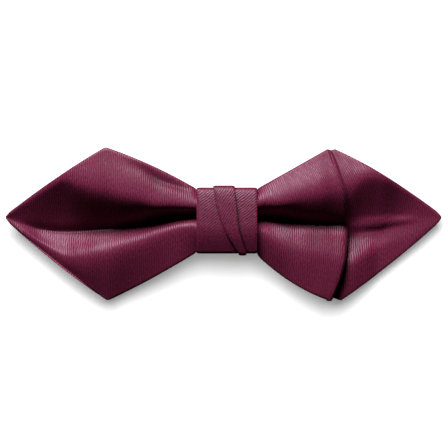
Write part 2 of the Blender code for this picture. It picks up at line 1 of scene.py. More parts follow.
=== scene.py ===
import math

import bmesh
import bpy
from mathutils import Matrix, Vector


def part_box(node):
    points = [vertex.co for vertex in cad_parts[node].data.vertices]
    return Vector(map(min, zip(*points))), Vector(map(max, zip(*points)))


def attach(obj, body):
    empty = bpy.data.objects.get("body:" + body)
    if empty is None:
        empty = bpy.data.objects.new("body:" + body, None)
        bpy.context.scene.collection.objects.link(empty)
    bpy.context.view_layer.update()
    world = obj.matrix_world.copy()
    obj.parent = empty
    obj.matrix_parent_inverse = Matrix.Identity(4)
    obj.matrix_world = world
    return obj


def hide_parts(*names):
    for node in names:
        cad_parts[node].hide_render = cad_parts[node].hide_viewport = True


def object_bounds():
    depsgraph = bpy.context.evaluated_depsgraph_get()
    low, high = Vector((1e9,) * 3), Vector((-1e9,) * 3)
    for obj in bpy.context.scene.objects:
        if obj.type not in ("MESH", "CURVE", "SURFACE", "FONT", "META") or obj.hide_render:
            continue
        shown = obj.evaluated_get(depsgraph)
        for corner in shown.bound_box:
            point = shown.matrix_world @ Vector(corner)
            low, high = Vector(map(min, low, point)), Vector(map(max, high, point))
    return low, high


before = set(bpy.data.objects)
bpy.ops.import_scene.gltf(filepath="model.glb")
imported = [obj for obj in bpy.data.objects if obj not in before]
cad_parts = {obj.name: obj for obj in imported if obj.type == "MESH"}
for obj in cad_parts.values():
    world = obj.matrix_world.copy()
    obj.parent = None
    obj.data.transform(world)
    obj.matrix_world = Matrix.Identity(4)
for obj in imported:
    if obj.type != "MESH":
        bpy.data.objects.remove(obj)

# Looks of the clip-on bow tie. The strip, the knot band, the closing stitches and the tacks
# are built here at a fine scale and stand for their CAD nodes. The clip and the thread that
# binds the waist keep their CAD shapes and get their finishes.
# The tie's sizes are in millimetres and MM turns them into metres. Bumps, the floor and the
# lights are in metres.

MM = 0.001
CAD_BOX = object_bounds()

# ---------------------------------------------------------------- sizes of strip and knot
PLY = 0.24
INTERLINING = 0.24
FACE_OFFSET = 0.41
SEAM_OFFSET = 0.13
SEAM_ROLL = 0.9
RIGHT_REACH = 33.7
RIGHT_CORNER = 29.2
LEFT_REACH = 31.0
LEFT_CORNER = 28.6
FOLD_WIDTH = 0.8
FOLD_START = 20.0
FOLD_POWER = 2.2
CONTROL_ROWS = (0.0, 0.25, 0.5, 0.75, 1.0)
VALLEY_MARGIN = 0.3

KNOT_Y = 0.95
KNOT_Z = 12.2
KNOT_SQUARENESS = 8.0
BAND = 0.45
INNER_TURN_HALF = (8.875, 6.025)
OUTER_TURN_HALF = (9.425, 6.575)
KNOT_LEFT = -7.5
KNOT_RIGHT = 9.1

# Outlines seen from the front: (x, y, outward bulge of the stretch to the next point).
FRONT_TOP = ((-60, 2.6, 0.6), (-32.6, 21.0, 0.8), (-8.1, 9.8, 0), (-7.3, 8.9, 0),
             (9.0, 8.9, 0), (9.8, 9.9, 0), (28.5, 20.5, 0), (29.2, 20.3, 0))
FRONT_BOTTOM = ((-60, 1.0, 0.9), (-32.3, -21.1, 0.5), (-8.1, -8.0, 0), (-7.3, -7.1, 0),
                (9.0, -7.1, 0), (9.8, -9.1, 1.4), (29.2, -21.1, 0))
MIDDLE_TOP = ((-28.6, 18.4, 0), (-9.4, 9.6, 0), (-7.6, 8.6, 0), (9.2, 8.6, 0),
              (10.6, 9.8, 0), (28.5, 20.4, 0), (29.2, 20.2, 0))
MIDDLE_BOTTOM = ((-28.6, -18.6, 0), (-9.4, -8.0, 0), (-7.6, -6.7, 0), (9.2, -6.7, 0),
                 (10.6, -9.0, 0.8), (29.2, -21.1, 0))
REAR_TOP = ((-28.6, 18.4, 0), (-9.4, 8.6, 0), (-7.6, 6.55, 0), (9.2, 6.55, 0),
            (10.6, 8.6, 0), (30.5, 20.7, 1.1), (60, 2.6, 0))
REAR_BOTTOM = ((-28.6, -18.6, 0), (-9.4, -7.0, 0), (-7.6, -4.65, 0), (9.2, -4.65, 0),
               (10.6, -7.5, 0), (29.4, -20.0, 0), (32.2, -21.1, 0.9), (60, 1.0, 0))

# Pleats: x, height of the lower edge, lower crest, valley, upper crest and upper edge, the
# valley's y, and how far out each crest lies between valley and edge (lower, upper).
FRONT_PLEATS = (
    (-60.0, 9.6, 9.6, 9.5, 9.7, 9.7, 1.8, 0.80, 0.80),
    (-56.3, 9.8, 9.8, 9.2, 11.2, 11.3, 0.4, 0.80, 0.90),
    (-50.8, 9.0, 9.3, 7.6, 12.9, 13.0, -1.8, 0.72, 0.92),
    (-45.2, 9.3, 9.8, 7.1, 15.0, 15.1, -2.0, 0.70, 0.92),
    (-39.7, 9.6, 11.4, 8.2, 16.7, 16.0, -2.0, 0.53, 0.71),
    (-34.2, 8.6, 12.4, 9.5, 17.6, 16.1, -1.7, 0.38, 0.55),
    (-28.7, 7.9, 12.6, 10.3, 18.0, 15.9, -1.4, 0.315, 0.48),
    (-23.2, 9.3, 13.2, 11.1, 18.0, 16.4, -0.5, 0.30, 0.447),
    (-17.7, 11.0, 14.0, 11.7, 17.8, 15.8, 1.1, 0.29, 0.34),
    (-12.1, 12.7, 14.7, 12.0, 17.2, 15.0, 2.1, 0.28, 0.34),
    (-8.2, 12.6, 15.0, 12.4, 16.8, 14.4, 2.3, 0.32, 0.38),
    (-5.0, 11.8, 16.25, 13.0, 16.45, 12.4, 1.0, 0.54, 0.55),
    (7.0, 11.8, 16.25, 13.0, 16.45, 12.4, 1.0, 0.54, 0.55),
    (9.8, 12.2, 14.6, 12.0, 16.9, 14.8, 1.3, 0.36, 0.53),
    (15.5, 12.1, 14.3, 12.3, 17.5, 15.3, 1.0, 0.46, 0.434),
    (21.0, 13.0, 14.3, 12.5, 17.4, 14.4, -0.4, 0.47, 0.49),
    (26.5, 13.0, 13.6, 11.8, 17.0, 13.3, -1.2, 0.46, 0.50),
    (31.0, 12.5, 13.0, 11.0, 15.9, 12.4, -1.2, 0.50, 0.51),
    (33.7, 12.4, 12.8, 10.8, 15.7, 12.3, -1.2, 0.52, 0.51),
)
MIDDLE_PLEATS = (
    (-31.0, 4.6, 7.4, 6.0, 10.0, 6.4, -1.4, 0.33, 0.48),
    (-22.0, 7.2, 10.6, 8.2, 12.5, 9.5, 0.3, 0.31, 0.42),
    (-15.0, 9.2, 11.6, 8.7, 13.4, 10.5, 1.7, 0.30, 0.36),
    (-10.0, 10.2, 12.6, 8.9, 13.6, 11.2, 2.5, 0.33, 0.40),
    (-8.4, 10.2, 12.9, 9.9, 13.7, 11.0, 2.2, 0.35, 0.42),
    (-7.4, 10.1, 13.2, 10.7, 14.0, 10.6, 1.8, 0.42, 0.46),
    (-5.0, 10.0, 14.05, 10.9, 14.25, 10.2, 1.0, 0.54, 0.53),
    (7.6, 10.0, 14.05, 10.9, 14.25, 10.2, 1.0, 0.54, 0.53),
    (9.6, 9.6, 12.4, 10.0, 13.8, 10.8, 1.6, 0.38, 0.51),
    (11.0, 9.2, 12.1, 9.1, 13.8, 11.4, 1.8, 0.36, 0.48),
    (15.5, 8.9, 11.4, 8.8, 13.8, 11.2, 1.4, 0.47, 0.41),
    (21.0, 10.2, 11.4, 9.0, 13.8, 11.0, 0.0, 0.49, 0.48),
    (26.5, 10.6, 11.0, 8.8, 13.6, 10.5, -0.8, 0.48, 0.50),
    (33.7, 10.85, 10.4, 8.2, 13.3, 10.7, -1.2, 0.52, 0.51),
)
REAR_PLEATS = (
    (-31.0, 2.2, 5.0, 3.6, 7.6, 4.0, -1.4, 0.33, 0.48),
    (-22.0, 5.2, 8.3, 6.1, 10.0, 7.0, 0.4, 0.31, 0.43),
    (-15.0, 6.8, 9.2, 6.2, 10.4, 7.6, 1.9, 0.30, 0.42),
    (-10.0, 7.4, 9.9, 6.4, 10.4, 8.2, 2.6, 0.33, 0.46),
    (-7.6, 7.6, 10.0, 7.6, 10.2, 7.8, 2.0, 0.42, 0.50),
    (-5.0, 8.0, 11.2, 9.0, 11.4, 8.2, 1.0, 0.54, 0.53),
    (7.0, 8.0, 11.2, 9.0, 11.4, 8.2, 1.0, 0.54, 0.53),
    (9.2, 7.6, 10.0, 7.6, 10.2, 7.8, 1.6, 0.46, 0.53),
    (10.6, 6.9, 9.6, 6.6, 10.5, 8.0, 2.0, 0.42, 0.54),
    (15.5, 6.6, 9.0, 6.2, 10.7, 7.8, 1.6, 0.47, 0.46),
    (21.0, 6.6, 9.0, 6.6, 11.3, 7.6, -0.2, 0.51, 0.49),
    (26.5, 6.9, 8.2, 6.0, 11.1, 7.6, -0.2, 0.50, 0.50),
    (28.5, 8.5, 8.8, 6.0, 10.7, 8.0, -1.2, 0.53, 0.56),
    (31.0, 9.1, 9.1, 5.9, 10.6, 8.2, -1.4, 0.54, 0.56),
    (34.8, 8.3, 8.9, 5.2, 11.0, 9.4, -1.9, 0.57, 0.62),
    (38.9, 6.9, 7.3, 4.8, 11.4, 10.4, -1.8, 0.54, 0.80),
    (43.0, 5.2, 5.4, 4.6, 10.8, 10.8, -1.5, 0.50, 0.90),
    (48.6, 5.2, 5.3, 4.8, 8.2, 8.3, 0.8, 0.60, 0.92),
    (54.0, 5.9, 6.0, 5.8, 6.6, 6.7, 1.5, 0.70, 0.92),
    (60.0, 6.0, 6.0, 6.0, 6.0, 6.0, 1.8, 0.80, 0.90),
)

# Creases pressed into the pleats: stations of (x, y, height added, half width).
LEFT_VALLEY = ((-57.0, 0.3, 0.0, 1.0), (-45.0, -1.9, -0.9, 1.0), (-34.0, -1.3, -1.1, 1.5),
               (-23.0, 0.2, -1.4, 1.7), (-12.0, 2.1, -1.4, 1.1), (-9.0, 2.3, -1.0, 0.9),
               (-7.6, 2.3, 0.0, 0.8))
RIGHT_VALLEY = ((9.5, 1.9, 0.0, 0.8), (12.0, 1.8, -1.1, 1.0), (21.0, 0.6, -1.7, 1.7),
                (31.0, 0.0, -1.6, 1.8), (35.0, -0.3, -1.4, 1.8))
LEFT_SHOULDER = ((-29.0, 17.5, 0.0, 2.0), (-23.0, 14.9, -0.35, 1.6),
                 (-17.7, 12.0, -0.8, 1.4), (-12.0, 9.9, -0.5, 1.1), (-9.0, 8.8, 0.0, 1.0))
FOLD_VALLEY = ((22.0, 0.3, 0.0, 1.6), (31.0, 0.0, -1.2, 1.8), (35.0, -0.3, -1.3, 1.8))
REAR_RIDGE = ((33.4, -0.9, 0.0, 1.0), (36.5, -0.5, 0.7, 0.9), (41.0, 0.1, 1.1, 0.9),
              (48.0, 0.9, 0.7, 0.9), (54.0, 1.5, 0.0, 0.9))
FRONT_CREASES = (LEFT_VALLEY, RIGHT_VALLEY, LEFT_SHOULDER)
MIDDLE_CREASES = (FOLD_VALLEY,)
REAR_CREASES = (REAR_RIDGE,)

# ---------------------------------------------------------------- sizes of the fine meshes
STATION_STEP = 0.75
BEND_STEPS = 14
EDGE_ROWS = (0.0, 0.003, 0.007, 0.012, 0.018, 0.026, 0.036, 0.05)
INNER_ROWS = 44
TIP_X = 60.15
TIP_ROUNDING = 1.3
POINTED_FROM = 59.0
TIP_STATIONS = (0.02, 0.08, 0.18, 0.32, 0.5)
LINING_INSET = 0.09
LINING_ROWS = 24
LINING_TRIM = 6
TINY = 1e-9
LENS_START = -58.0
LENS_END = -31.8
LENS_PULL = 0.85
LENS_REACH = 6.0
LENS_ABOVE_Z = 6.0
LENS_BELOW_Y = -2.0
LENS_DIRECTION = (0.62, 0.78, 0.0)
LENS_CURL = 0.5
CURL_REACH = 2.6
# Painted light on the strip, carried in the mesh's tone and multiplied into the satin's
# colour: painted shade in the creases and a painted highlight along the seams.
CREASE_SHADE = 0.6
DARKEST_SHADE = 0.2
SEAM_LIGHT = 0.35
SEAM_LIGHT_WIDTH = 0.4
LIFTED_LIGHT = 0.5

# Edges of the knot's turns at the front: height y, then x.
FIRST_EDGE = ((-8.0, 4.0), (-6.2, 2.8), (-1.1, 0.1), (4.8, -2.0), (10.3, -3.0))
SECOND_EDGE = ((-8.3, 6.2), (-4.7, 4.9), (-1.1, 4.0), (4.8, 3.5), (10.3, 2.95))
LEFT_TURN_TUCK = 1.4
RIGHT_TURN_TUCK = 1.3
LEFT_TUCK_FROM = -9.2
RIGHT_TUCK_FROM = -14.0
TUCK_GROWTH = 0.2
TURN_SEGMENTS = 40
TURN_ROWS = 24
BAND_FOLD_STEPS = 6
EDGE_ROLL_REACH = 0.9
EDGE_ROLL_DROP = 0.16
# Painted light on the knot, carried in the mesh's tone: the band's colour scaled darker as a
# whole, painted shade in the gaps beside the middle turn and painted highlights at the turns'
# edges.
KNOT_TONE = 0.86
EDGE_LIGHT = 0.45
EDGE_LIGHT_WIDTH = 0.3
FIRST_GAP = 0.35
SECOND_GAP = 0.75
SECOND_GAP_GROWTH = 0.035
PAINTED_GAP_SHADE = 0.1
# How far the knot's front falls away from its crest, by the height as a share of the half.
KNOT_FALL = ((-1.0, 2.03), (-0.8, 1.3), (-0.6, 0.63), (-0.4, 0.17), (-0.2, 0.0), (0.0, 0.05),
             (0.2, 0.14), (0.4, 0.31), (0.6, 0.53), (0.8, 0.8), (1.0, 1.12))

# Zigzag that closes the knot band, the tacks' twisted thread and the clip's plates.
CLOSING_X = 7.8
CLOSING_Y = 0.6
CLOSING_STEP = 0.8
CLOSING_HALF = 0.55
CLOSING_Z = 5.82
CLOSING_POINTS = 8
THREAD_RADIUS = 0.13
THREAD_PITCH = 0.7
THREAD_STEPS = 14
STRAND_SHARE = 0.6
STRAND_ORBIT = 0.5
TACK_LOOPS = 3
TACK_CORNER = 0.3
PLATE_EDGE = 0.08
PLATE_EDGE_ANGLE = 40.0

# ---------------------------------------------------------------- weave (bumps in metres)
RIB_PERIOD = 0.6
RIB_SHARE = 0.6
WING_BUMP = 0.000025
KNOT_BUMP = 0.00003
THREAD_LENGTH = 0.8
WING_GRAIN = 1.5
KNOT_GRAIN = 2.4
DARK_SATIN = (0.075, 0.0054, 0.020)
LIGHT_SATIN = (0.255, 0.0265, 0.080)
WOBBLE_SCALE = 0.5
WOBBLE_REACH = 0.8
THREAD_WIDTH = 0.45
FAN_FROM_X = 5.0
FAN_FROM_Y = 1.0
FAN_GROWTH = 0.02
SIDE_TURN_LINES = -50.0
MIDDLE_TURN_LINES = -35.0

# ---------------------------------------------------------------- finishes
BUMP_STRENGTH = 0.8
SATIN_ROUGHNESS = 0.44
SATIN_SPECULAR = 0.42
SATIN_SPECULAR_TINT = (1.0, 0.74, 0.90, 1)
SATIN_SHEEN = 0.05
SATIN_SHEEN_ROUGHNESS = 0.4
SATIN_SHEEN_TINT = (0.9, 0.6, 0.72, 1)
DARK_NICKEL = (0.56, 0.55, 0.52)
LIGHT_NICKEL = (0.68, 0.67, 0.64)
NICKEL_ROUGHNESS = 0.18
NICKEL_STRETCH = 12.0
DARK_WIRE = (0.36, 0.36, 0.37)
LIGHT_WIRE = (0.5, 0.5, 0.51)
WIRE_ROUGHNESS = 0.26
WIRE_STRETCH = 1.0
METAL_GRAIN = 400.0
METAL_ROUGHNESS_RANGE = 0.16
METAL_BUMP_STRENGTH = 0.3
METAL_BUMP = 0.00001
DARK_THREAD = (0.06, 0.005, 0.016)
LIGHT_THREAD = (0.2, 0.025, 0.06)
THREAD_GRAIN = 9000.0
THREAD_ROUGHNESS = 0.6
THREAD_SHEEN = 0.2
DARK_COTTON = (0.5, 0.46, 0.4)
LIGHT_COTTON = (0.7, 0.66, 0.6)
COTTON_GRAIN = 2500.0
COTTON_ROUGHNESS = 0.9
DARK_FLOOR = (0.86, 0.86, 0.86)
LIGHT_FLOOR = (0.9, 0.9, 0.9)
FLOOR_GRAIN = 3.0
FLOOR_GLOW = 0.27
MIX_ENDS = (0.3, 0.7)

# ---------------------------------------------------------------- camera and lights
VIEW_WIDTH = 123.6
LENS = 300.0
SENSOR = 36.0
FOCUS_HEIGHT = 11.0
CAMERA_REACH = 20.0
FLOOR_SIZE = 6.0
FLOOR_DROP = 0.0002
AIM_HEIGHT = 0.009
KEY_ELEVATION = 38.0
KEY_DISTANCE = 0.5
KEY_SIZE = 0.16
KEY_AZIMUTH = -10.0
KEY_POWER = 3.55
FLOOR_LIGHT_ELEVATION = 71.0
FLOOR_LIGHT_POWER = 4.0
FLOOR_LIGHT_DISTANCE = 0.5
FLOOR_LIGHT_SIZE = 0.3
CLIP_LIGHT_SIZE = 0.3
CLIP_LIGHT_POWER = 0.6
CLIP_LIGHT_PLACES = ((0.3, -0.4), (-0.3, -0.4), (0.3, 0.4), (-0.3, 0.4))
CLIP_LIGHT_HEIGHT = 0.12
CLIP_NODES = ("clip_base_plate", "clip_jaw", "clip_hinge_pin", "clip_torsion_spring")
WORLD_STRENGTH = 0.004


def smooth_curve(xs, ys, x):
    """Value at x of a smooth curve through the points that never overshoots them."""
    if x <= xs[0]:
        return ys[0]
    if x >= xs[-1]:
        return ys[-1]
    slopes = [(ys[i + 1] - ys[i]) / (xs[i + 1] - xs[i]) for i in range(len(xs) - 1)]

    def tangent(i):
        if i == 0:
            return slopes[0]
        if i == len(xs) - 1:
            return slopes[-1]
        before, after = slopes[i - 1], slopes[i]
        if before * after <= 0:
            return 0.0
        return 2 * before * after / (before + after)

    i = max(k for k in range(len(xs) - 1) if xs[k] <= x)
    step = xs[i + 1] - xs[i]
    s = (x - xs[i]) / step
    start = (1 + 2 * s) * (1 - s) ** 2 * ys[i] + s * (1 - s) ** 2 * step * tangent(i)
    end = s * s * (3 - 2 * s) * ys[i + 1] + s * s * (s - 1) * step * tangent(i + 1)
    return start + end


def outline_height(points, x):
    """Height y of an outline at x: straight or bulging stretches between its points."""
    x = min(max(x, points[0][0]), points[-1][0])
    for (x0, y0, bulge), (x1, y1, _) in zip(points, points[1:]):
        if x <= x1:
            s = (x - x0) / (x1 - x0)
            outward = math.copysign(1.0, y0 + y1)
            return y0 + (y1 - y0) * s + outward * bulge * 4 * s * (1 - s)
    return points[-1][1]


def tip_factor(x):
    """1 along the strip, falling to 0 round each pointed end so that the tip is rounded."""
    t = min(max((TIP_X - abs(x)) / TIP_ROUNDING, 0.0), 1.0)
    return math.sqrt(1 - (1 - t) ** 2)


class Span:
    """One run of the folded strip: a pleated surface over (x, across) with a fold line."""

    def __init__(self, top, bottom, pleats, creases, left_fold=None, right_fold=None):
        self.top = top
        self.bottom = bottom
        self.columns = list(zip(*pleats))
        self.creases = [list(zip(*crease)) for crease in creases]
        self.left_fold = left_fold
        self.right_fold = right_fold

    def section(self, x, edge_x):
        """Five control points (y, z) across the strip, lower edge first."""
        values = [smooth_curve(self.columns[0], column, x) for column in self.columns[1:]]
        z = values[:5]
        valley, lower_part, upper_part = values[5:]
        low = outline_height(self.bottom, edge_x)
        high = outline_height(self.top, edge_x)
        middle = (low + high) / 2
        low = middle + (low - middle) * tip_factor(x)
        high = middle + (high - middle) * tip_factor(x)
        margin = VALLEY_MARGIN * (high - low)
        valley = min(max(valley, low + margin), high - margin)
        y = (low, valley + (low - valley) * lower_part, valley,
             valley + (high - valley) * upper_part, high)
        return y, z

    def crease_height(self, x, y):
        """Height that the pressed-in creases add at a point."""
        total = 0.0
        for xs, ys, heights, widths in self.creases:
            if x <= xs[0] or x >= xs[-1]:
                continue
            offset = (y - smooth_curve(xs, ys, x)) / smooth_curve(xs, widths, x)
            total += smooth_curve(xs, heights, x) * math.exp(-offset * offset)
        return total

    def fold_shift(self, x, across):
        """How far the fold's curve pulls a point in towards the waist."""
        for fold, side in ((self.left_fold, -1), (self.right_fold, 1)):
            if fold is None or x * side < FOLD_START:
                continue
            reach, corner = fold
            ramp = min((x * side - FOLD_START) / (reach - FOLD_START), 1.0)
            bow = abs(2 * across - 1) ** FOLD_POWER
            return -side * (reach - corner) * bow * ramp * ramp
        return 0.0

    def column(self, x, rows):
        """Points across the strip at one station."""
        y, z = self.section(x, x + self.fold_shift(x, 1.0))
        points = []
        for across in rows:
            height = smooth_curve(CONTROL_ROWS, y, across)
            depth = smooth_curve(CONTROL_ROWS, z, across)
            place = x + self.fold_shift(x, across)
            points.append(Vector((place, height, depth + self.crease_height(x, height))))
        return points


RIGHT_FOLD = (RIGHT_REACH, RIGHT_CORNER)
LEFT_FOLD = (LEFT_REACH, LEFT_CORNER)
FRONT = Span(FRONT_TOP, FRONT_BOTTOM, FRONT_PLEATS, FRONT_CREASES, right_fold=RIGHT_FOLD)
MIDDLE = Span(MIDDLE_TOP, MIDDLE_BOTTOM, MIDDLE_PLEATS, MIDDLE_CREASES, LEFT_FOLD, RIGHT_FOLD)
REAR = Span(REAR_TOP, REAR_BOTTOM, REAR_PLEATS, REAR_CREASES, left_fold=LEFT_FOLD)


def strip_rows():
    """Positions across the strip, close together near the two edges."""
    inner_start = EDGE_ROWS[-1]
    step = (1 - 2 * inner_start) / INNER_ROWS
    inner = [inner_start + step * k for k in range(1, INNER_ROWS)]
    return list(EDGE_ROWS) + inner + [1 - row for row in reversed(EDGE_ROWS)]


def stations(start, end):
    """Stations between two places, close together near a pointed tip."""
    count = max(2, round(abs(end - start) / STATION_STEP))
    places = [start + (end - start) * k / count for k in range(count + 1)]
    if abs(start) > POINTED_FROM:
        extra = [math.copysign(TIP_X - d, start) for d in TIP_STATIONS]
        return extra + places[1:]
    if abs(end) > POINTED_FROM:
        extra = [math.copysign(TIP_X - d, end) for d in reversed(TIP_STATIONS)]
        return places[:-1] + extra
    return places


def bend(upper, lower, side, width):
    """Columns round a fold, from the end of the upper span down to the end of the lower."""
    columns = []
    for k in range(BEND_STEPS + 1):
        angle = math.pi * k / BEND_STEPS
        share = (1 - math.cos(angle)) / 2
        inward = Vector((-side * width * (1 - math.sin(angle)), 0, 0))
        columns.append([high.lerp(low, share) + inward for high, low in zip(upper, lower)])
    return columns


def strip_columns(rows):
    """The strip's columns from the front tip round both folds, and the span each is on."""
    right_end = RIGHT_REACH - FOLD_WIDTH - STATION_STEP
    left_end = FOLD_WIDTH + STATION_STEP - LEFT_REACH
    front = [FRONT.column(x, rows) for x in stations(-TIP_X, right_end)]
    middle = [MIDDLE.column(x, rows) for x in stations(right_end, left_end)]
    rear = [REAR.column(x, rows) for x in stations(left_end, TIP_X)]
    right = bend(FRONT.column(RIGHT_REACH, rows), MIDDLE.column(RIGHT_REACH, rows), 1,
                 FOLD_WIDTH)
    left = bend(MIDDLE.column(-LEFT_REACH, rows), REAR.column(-LEFT_REACH, rows), -1,
                FOLD_WIDTH)
    owners = ([FRONT] * (len(front) + BEND_STEPS // 2) + [MIDDLE] * (BEND_STEPS // 2 + 1)
              + [MIDDLE] * len(middle) + [REAR] * (len(left) + len(rear)))
    return front + right + middle + left + rear, owners


def painted_cloth_light(owner, point, distance, lifted):
    """Painted light on the cloth at a point: painted shade down in a crease, a painted
    highlight along the seam, stronger where the face ply lifts at the left wing's lower edge.
    """
    crease = min(0.0, owner.crease_height(point.x, point.y))
    shade = max(DARKEST_SHADE, 1 + CREASE_SHADE * crease)
    light = SEAM_LIGHT + (LIFTED_LIGHT if lifted else 0.0)
    return shade * (1 + light * math.exp(-(distance / SEAM_LIGHT_WIDTH) ** 2))


def grid_normals(columns):
    """Normals of the grid of points, on the side of the face ply."""
    normals = []
    last_column = len(columns) - 1
    last_row = len(columns[0]) - 1
    for i, column in enumerate(columns):
        line = []
        for j in range(len(column)):
            along = columns[min(i + 1, last_column)][j] - columns[max(i - 1, 0)][j]
            across = column[min(j + 1, last_row)] - column[max(j - 1, 0)]
            normal = along.cross(across)
            if normal.length < TINY:
                normal = Vector((0, 0, 1))
            line.append(normal.normalized())
        normals.append(line)
    return normals


def seam_distance(columns, i, j):
    """Distance of a point from the nearest edge of the strip."""
    column = columns[i]
    edge = min((column[j] - column[0]).length, (column[j] - column[-1]).length)
    end = min((columns[i][j] - columns[0][j]).length, (columns[i][j] - columns[-1][j]).length)
    return min(edge, end)


def seam_offset(distance):
    """Offset of a ply from the strip's middle surface: it rolls in to the seam."""
    reach = min(distance / SEAM_ROLL, 1.0)
    return SEAM_OFFSET + (FACE_OFFSET - SEAM_OFFSET) * math.sqrt(1 - (1 - reach) ** 2)


def in_lens(point):
    """Whether a point is at the left wing's lower edge, where the two plies part."""
    beside = LENS_START < point.x < LENS_END
    return beside and point.z > LENS_ABOVE_Z and point.y < LENS_BELOW_Y


def lens_pull(point, distance_to_edge):
    """How far the face ply draws back from the back ply at the lower edge of the left wing."""
    if not in_lens(point):
        return Vector((0, 0, 0))
    fade = max(0.0, 1 - distance_to_edge / LENS_REACH) ** 2
    return Vector(LENS_DIRECTION) * LENS_PULL * lens_share(point) * fade


def lens_share(point):
    """How much of the opening there is at a place along the left wing's lower edge."""
    along = (point.x - LENS_START) / (LENS_END - LENS_START)
    return math.sin(math.pi * along) ** 0.5


def back_curl(point, distance_to_edge):
    """How far the back ply's edge curls up into the opening."""
    if not in_lens(point):
        return Vector((0, 0, 0))
    fade = max(0.0, 1 - distance_to_edge / CURL_REACH)
    return Vector((0, 0, LENS_CURL)) * lens_share(point) * fade


def twill_u(point, path):
    """Coordinate across the twill's lines: they fan out over the right wing's upper half."""
    lean = max(0.0, point.y - FAN_FROM_Y)
    return path + (FAN_GROWTH * lean * lean if point.x > FAN_FROM_X else 0.0)


def ply_place(point, normal, distance, low_edge, side):
    """Where a layer runs beside a point of the strip's middle surface."""
    offset = seam_offset(distance)
    if side > 0 and in_lens(point):
        offset = FACE_OFFSET
    place = point + normal * side * offset
    if side > 0:
        return place + lens_pull(point, (point - low_edge).length)
    if side < 0:
        return place + back_curl(point, (point - low_edge).length)
    return place


def grid_faces(body, grid, coordinates):
    """Faces between the vertices of a grid, with their weave coordinates."""
    weave = body.loops.layers.uv["weave"]
    for before, after in zip(grid, grid[1:]):
        for j in range(len(before) - 1):
            face = body.faces.new((before[j], after[j], after[j + 1], before[j + 1]))
            face.smooth = True
            for loop in face.loops:
                loop[weave].uv = coordinates[loop.vert]


def cloth_body():
    """Empty mesh data with the layers for the weave coordinates and the tone, which holds
    painted shade and painted highlights.
    """
    body = bmesh.new()
    body.loops.layers.uv.new("weave")
    body.verts.layers.float.new("tone")
    return body


def finished_mesh(name, body):
    mesh = bpy.data.meshes.new(name)
    body.to_mesh(mesh)
    body.free()
    return mesh


def ply_mesh(name, columns, owners, normals, side):
    """One layer of the strip as a sheet: side is 1 for the face, -1 for the back, or 0."""
    middle = len(columns[0]) // 2
    body = cloth_body()
    tone = body.verts.layers.float["tone"]
    grid = []
    coordinates = {}
    path = 0.0
    for i, column in enumerate(columns):
        if i:
            path += (column[middle] - columns[i - 1][middle]).length
        line = []
        width = 0.0
        for j, point in enumerate(column):
            if j:
                width += (point - column[j - 1]).length
            distance = seam_distance(columns, i, j)
            place = ply_place(point, normals[i][j], distance, column[0], side)
            vertex = body.verts.new(place * MM)
            lifted = side != 0 and in_lens(point)
            # The tone holds painted shade and painted highlights, not the cloth's own colour.
            vertex[tone] = painted_cloth_light(owners[i], point, distance, lifted)
            coordinates[vertex] = (twill_u(point, path), width)
            line.append(vertex)
        grid.append(line)
    grid_faces(body, grid, coordinates)
    return finished_mesh(name, body)


def add_piece(name, mesh, material):
    """New piece of the tie with one material."""
    made = bpy.data.objects.new(name, mesh)
    mesh.materials.append(material)
    bpy.context.scene.collection.objects.link(made)
    return made


def solidify(made, thickness):
    shell = made.modifiers.new("cloth thickness", "SOLIDIFY")
    shell.thickness = thickness * MM
    shell.offset = 0.0


def build_strip(satin, lining):
    """The two plies and the interlining, each one folded sheet from tip to tip."""
    rows = strip_rows()
    columns, owners = strip_columns(rows)
    normals = grid_normals(columns)
    face_mesh = ply_mesh("bow_face_ply", columns, owners, normals, 1)
    back_mesh = ply_mesh("bow_back_ply", columns, owners, normals, -1)
    face = add_piece("bow_face_ply", face_mesh, satin)
    back = add_piece("bow_back_ply", back_mesh, satin)
    solidify(face, PLY)
    solidify(back, PLY)
    share = 1 - 2 * LINING_INSET
    inner_rows = [LINING_INSET + share * k / LINING_ROWS for k in range(LINING_ROWS + 1)]
    inner, inner_owners = strip_columns(inner_rows)
    inner = inner[LINING_TRIM:-LINING_TRIM]
    inner_owners = inner_owners[LINING_TRIM:-LINING_TRIM]
    lining_mesh = ply_mesh("bow_interlining", inner, inner_owners, grid_normals(inner), 0)
    core = add_piece("bow_interlining", lining_mesh, lining)
    solidify(core, INTERLINING)
    for piece, layer, slot in ((face, "face_ply", "satin_face"),
                               (back, "back_ply", "satin_back"),
                               (core, "interlining", "interlining")):
        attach(piece, "bow")
        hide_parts(*(f"{span}_span_{layer}" for span in ("front", "middle", "rear")))


def ring_point(half, angle, offset=0.0):
    """Point (y, z) on the knot's section: nearly a box, whose front falls away both ways."""
    power = 2 / KNOT_SQUARENESS
    y = math.copysign(abs(math.cos(angle)) ** power, math.cos(angle)) * (half[0] + offset)
    z = math.copysign(abs(math.sin(angle)) ** power, math.sin(angle)) * (half[1] + offset)
    front = (1 + math.sin(angle)) / 2
    drop = smooth_curve(*zip(*KNOT_FALL), y / half[0])
    return KNOT_Y + y, KNOT_Z + z - drop * front * front


def edge_at(edge, y):
    heights, places = zip(*edge)
    return smooth_curve(heights, places, y)


def ring_angles():
    """Angles of the knot's rings from the back, where the weave's join is hidden."""
    power = KNOT_SQUARENESS / 2
    quarter = []
    for k in range(TURN_SEGMENTS):
        share = math.pi / 2 * k / TURN_SEGMENTS
        blend = math.atan2(math.sin(share) ** power, math.cos(share) ** power)
        quarter.append(blend)
    return [math.pi / 2 * side + angle for side in (-1, 0, 1, 2) for angle in quarter]


